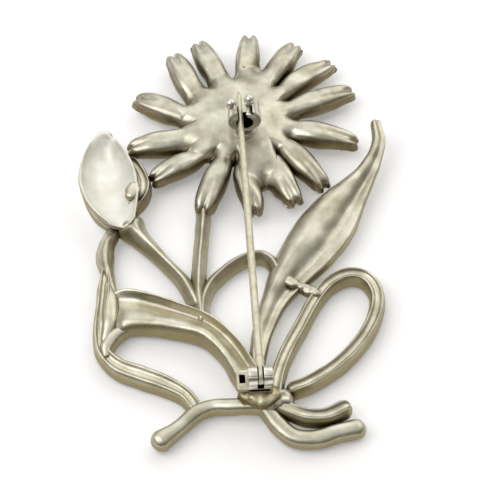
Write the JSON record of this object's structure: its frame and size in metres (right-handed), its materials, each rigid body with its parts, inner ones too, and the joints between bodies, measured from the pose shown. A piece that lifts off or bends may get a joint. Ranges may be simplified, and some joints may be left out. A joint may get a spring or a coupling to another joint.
{
  "type": "flower spray brooch with safety catch",
  "caption": "Cast metal flower spray brooch, back up: daisy head, bud, leaf and ribbon bow, with a riveted pin stem that swings open and a turning safety catch.",
  "frame": {"origin": "middle of the footprint, on the surface that the brooch lies on, face down", "axes": "+Y along the closed pin stem, from its hinge to its catch at the flower; +Z out of the brooch's back, away from the surface; +X towards the big leaf"},
  "size_m": [0.0462, 0.074, 0.0111],
  "materials": {
    "cast_metal": "satin nickel-plated white metal casting",
    "button_metal": "satin nickel-plated white metal casting, beaded",
    "solder_metal": "plated solder bridge",
    "bright_nickel": "bright nickel plate",
    "stem_wire": "drawn nickel silver wire, satin"
  },
  "bodies": {
    "brooch": {"flower_head": "cast_metal", "seed_button": "button_metal", "flower_stem": "cast_metal", "bud_dish": "cast_metal", "bud_petal": "cast_metal", "bud_stem": "cast_metal", "branch_strut": "cast_metal", "big_leaf": "cast_metal", "leaf_tie": "solder_metal", "right_loop": "cast_metal", "wide_ribbon": "cast_metal", "side_leaf": "cast_metal", "left_loop": "cast_metal", "left_tail": "cast_metal", "upper_right_tail": "cast_metal", "lower_right_tail": "cast_metal", "bow_knot": "cast_metal", "hinge_base": "bright_nickel", "hinge_rivet": "bright_nickel", "catch_ring": "bright_nickel"},
    "stem": {"pin_stem": "stem_wire"},
    "sleeve": {"catch_sleeve": "bright_nickel"}
  },
  "joints": [
    {"name": "stem_hinge", "type": "hinge", "parent": "brooch", "child": "stem", "pos_m": [0.00135, -0.02895, 0.008], "axis": [1, 0, 0], "range_deg": [0, 110]},
    {"name": "catch_turn", "type": "hinge", "parent": "brooch", "child": "sleeve", "pos_m": [0.00195, 0.01575, 0.008], "axis": [0, 1, 0], "range_deg": [0, 100]}
  ]
}
